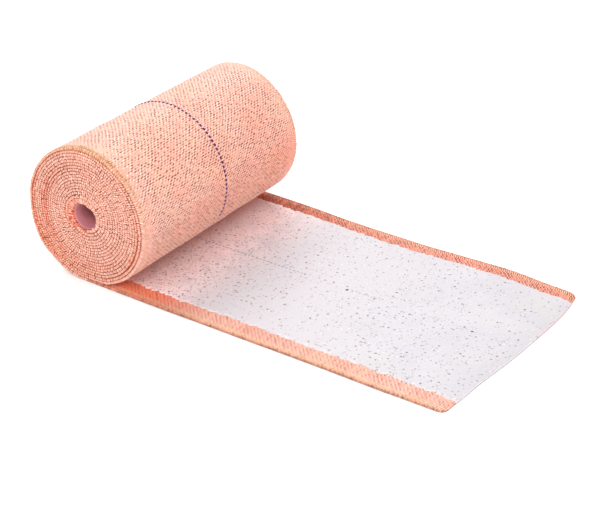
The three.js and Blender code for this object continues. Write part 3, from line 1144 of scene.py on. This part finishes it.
# Outline of the core, whose two ends thin down to a rounded lip: the radius and the place along it.
def core_profile():
    lip = CORE_LIP / 2
    turned = np.radians(np.linspace(0, 180, 9))
    radius = np.append(BORE_RADIUS + lip - lip * np.cos(turned), BORE_RADIUS + CORE_WALL)
    back = CORE_RECESS + np.append(lip - lip * np.sin(turned), CORE_TAPER)
    return np.append(radius, radius[::-1]), np.append(back, CLOTH_WIDTH - back[::-1])


def core_sleeve():
    radius, y = core_profile()
    angle = np.linspace(0, FULL_TURN, CORE_SIDES, endpoint=False)[:, None]
    # The near end opens out to one side.
    from_end = limited(1 - (y - CORE_RECESS) / CORE_FLARE_DEPTH)
    to_side = 0.5 + 0.5 * np.cos(angle - math.radians(BULGE_SIDE))
    radius = radius + CORE_FLARE * from_end**2 * to_side
    x, z = place_round(radius, angle)
    form = Form()
    index = form.grid((x, y, z), y, angle * BORE_RADIUS)
    form.join(index[:, -1], index[:, 0])
    first, last = (np.append(row, row[0]) for row in (index[0], index[-1]))
    form.join(last, first)
    return form


# Centre thread: a stitch on every period of the weave, or the thread's light part between two stitches.
def centre_thread(length, width, lift, phase):
    turns, lengths = even_turns(TURNS - 1, TURNS, 0.1)
    form = Form()
    rng = np.random.default_rng(51)
    first = math.ceil(lengths[0] / WEFT_PERIOD) + phase
    places = np.arange(first, lengths[-1] / WEFT_PERIOD)[:-1] * WEFT_PERIOD
    dips = np.interp(TURNS - 1 + THREAD_DIPS / 360, turns, lengths)
    for place in places[places > dips]:
        turn = np.interp(place, lengths, turns)
        radius = winding_radius(turn + 1) - TURN_GAP / 2 + 0.04
        angle = winding_angle(turn)
        middle = column(THREAD_PLACE, "wound", (turn % 1) * 360, "y")
        long_half = length / 2 * rng.uniform(0.85, 1.12)
        wide_half = width / 2 * rng.uniform(0.85, 1.12)
        lean = math.radians(rng.uniform(14, 30))
        share = np.linspace(-1, 1, 7)[:, None]
        around = np.linspace(0, FULL_TURN, 8, endpoint=False)
        girth = np.sqrt(limited(1 - share**2)) ** 0.8 + 0.02
        side = wide_half * girth * np.cos(around)
        ahead = long_half * share + 0 * around
        across = side * math.cos(lean) + ahead * math.sin(lean)
        forward = ahead * math.cos(lean) - side * math.sin(lean)
        turned = angle + forward / radius
        high = radius + lift * girth * np.sin(around)
        y = middle + across + 0.08 * rng.uniform(-1, 1)
        x, z = place_round(high, turned)
        index = form.grid((x, y, z), y, place + forward)
        form.join(index[:, -1], index[:, 0])
        form.cap(index[0])
        form.cap(index[-1, ::-1])
    return form


# Camera, light and floor

def make_camera():
    target = Vector((78.8045, 25.3436, 22.3905))
    distance = 608.6616
    focal_pixels = 1695.84
    frame_pixels = 600
    azimuth = Matrix.Rotation(math.radians(33.538), 4, "Z")
    elevation = Matrix.Rotation(math.radians(90 - 29.1115), 4, "X")
    roll = Matrix.Rotation(math.radians(0.8894), 4, "Z")
    turned = azimuth @ elevation @ roll
    place = target + turned @ Vector((0, 0, distance)) - Vector(ORIGIN)
    data = bpy.data.cameras.new("camera")
    data.sensor_fit = "HORIZONTAL"
    data.sensor_width = 36
    data.lens = focal_pixels / frame_pixels * data.sensor_width
    data.clip_start = 0.01
    camera = placed("camera", data)
    camera.matrix_world = Matrix.Translation(place * MM) @ turned
    bpy.context.scene.camera = camera


def area_light(name, place, towards, size, power, tint=(1, 1, 1)):
    data = bpy.data.lights.new(name, "AREA")
    data.shape = "DISK"
    data.size = size
    data.energy = power
    data.color = tint
    light = placed(name, data)
    aim = (Vector(towards) - Vector(place)).to_track_quat("-Z", "Y")
    light.matrix_world = Matrix.Translation(place) @ aim.to_matrix().to_4x4()


def make_studio():
    area_light("key", (-0.60, 0.28, 0.78), (0.0, 0.0, 0.02), 0.6, 6.1, tint=(0.9, 0.99, 1.0))
    area_light("fill", (0.02, -0.82, 0.76), (0.0, -0.02, 0.02), 0.8, 7.5)
    area_light("back", (-0.50, 0.72, 0.50), (0.0, 0.0, 0.03), 0.5, 2.3)
    area_light("side", (0.90, -0.14, 0.24), (0.0, 0.0, 0.02), 0.8, 5.3)
    world = bpy.data.worlds.new("studio")
    world.use_nodes = True
    background = world.node_tree.nodes["Background"].inputs
    background["Color"].default_value = (1, 1, 1, 1)
    background["Strength"].default_value = 0.77
    bpy.context.scene.world = world
    data = bpy.data.meshes.new("floor")
    reach = 3.0
    corners = [(-reach, -reach, 0), (reach, -reach, 0), (reach, reach, 0), (-reach, reach, 0)]
    data.from_pydata(corners, [], [(0, 1, 2, 3)])
    floor = placed("floor", data)
    floor.location.z = -0.0001
    data.materials.append(plain_material("floor", (254, 254, 254), 0.9))
    bpy.context.scene.view_settings.view_transform = "Standard"


make_camera()
make_studio()

outside, ends, inside = (
    cloth_material(**{what: looks[side] for what, looks in CLOTH_LOOKS.items()}) for side in range(3)
)
core = piece("core_sleeve", core_sleeve(), core_material(), ["core_tube"])
film = piece("adhesive_film", adhesive_film(), adhesive_material(), ["adhesive_coat"])
for row in THREADS:
    stitches = centre_thread(row["length"], row["width"], row["lift"], row["phase"])
    material = plain_material(row["name"], row["tint"], 0.8, 0.05)
    piece(row["name"], stitches, material, [])

# Each stretch of the cloth is a piece of its own, and the length of cloth wound into it is worked out.
for name, start, end in (("turns_inner", 0, 11), ("turns_outer", 11, 17)):
    turns = piece(name, wound_turns(start, end), ends, ["bandage_roll"])
    wound_length(start, end)
turn = piece("turn_outermost", outermost_turn(), outside, ["bandage_roll"])
wound_length(TURNS - 1, TURNS)
loose = piece("loose_cloth", loose_cloth(), inside, ["loose_end"])
